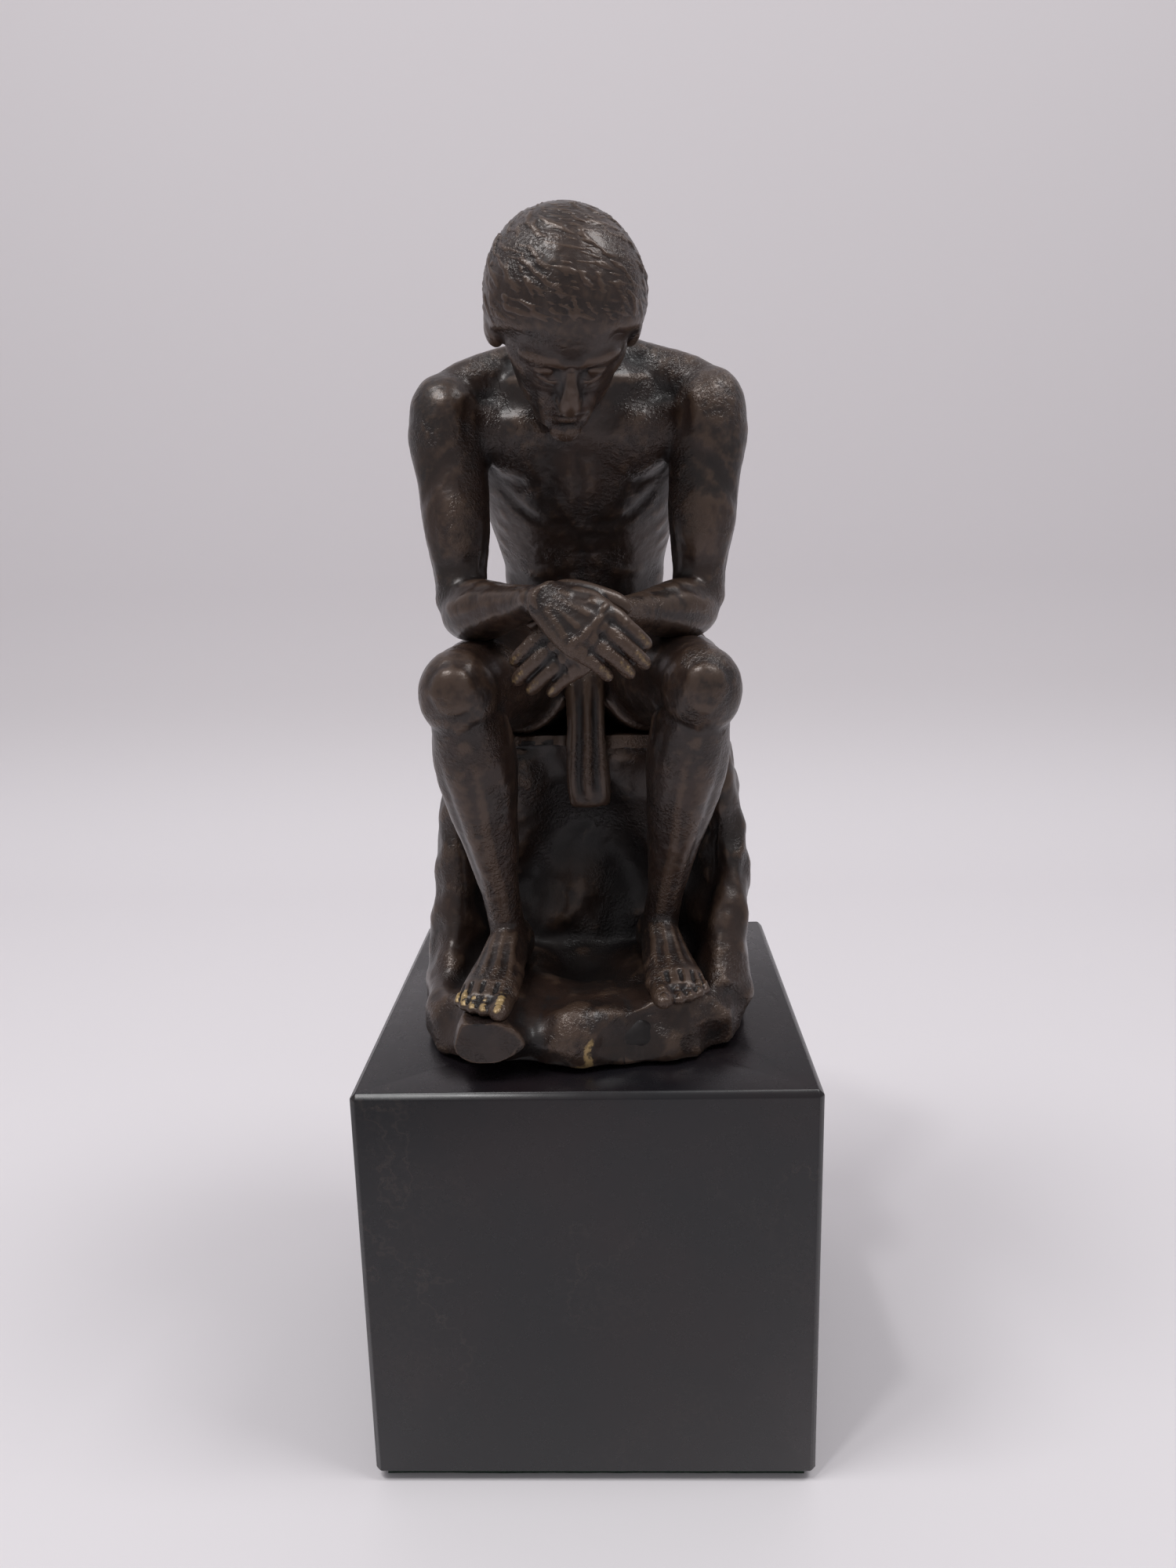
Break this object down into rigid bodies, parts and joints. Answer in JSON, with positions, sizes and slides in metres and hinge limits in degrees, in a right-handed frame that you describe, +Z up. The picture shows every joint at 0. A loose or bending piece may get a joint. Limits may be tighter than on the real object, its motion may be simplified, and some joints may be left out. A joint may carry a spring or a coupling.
{
  "type": "seated figure statuette",
  "caption": "Patinated bronze statuette of a seated man on a rock, hands crossed over his knees and head bowed, bolted to a polished black stone block with a felt underside.",
  "frame": {"origin": "middle of the underside of the felt pad", "axes": "+Z up; the figure faces -Y and its left side is at +X"},
  "size_m": [0.09, 0.096, 0.248],
  "materials": {
    "stone": "polished black marble, satin sheen, fine pale veins",
    "felt": "dark felt",
    "bronze": "cast bronze with a dark brown patina, rubbed to warm gold on the high spots",
    "steel": "zinc-plated steel",
    "pin_brass": "drawn brass rod"
  },
  "bodies": {
    "root": {"stone_block": "stone", "felt_pad": "felt", "rock_casting": "bronze", "lap_casting": "bronze", "trunk_casting": "bronze", "head": "bronze", "right_arm": "bronze", "left_arm": "bronze", "right_hand": "bronze", "left_hand": "bronze", "right_leg": "bronze", "left_leg": "bronze", "fixing_bar": "steel", "fixing_studs": "steel", "washers": "steel", "nuts": "steel", "joint_pins": "pin_brass"}
  },
  "joints": []
}
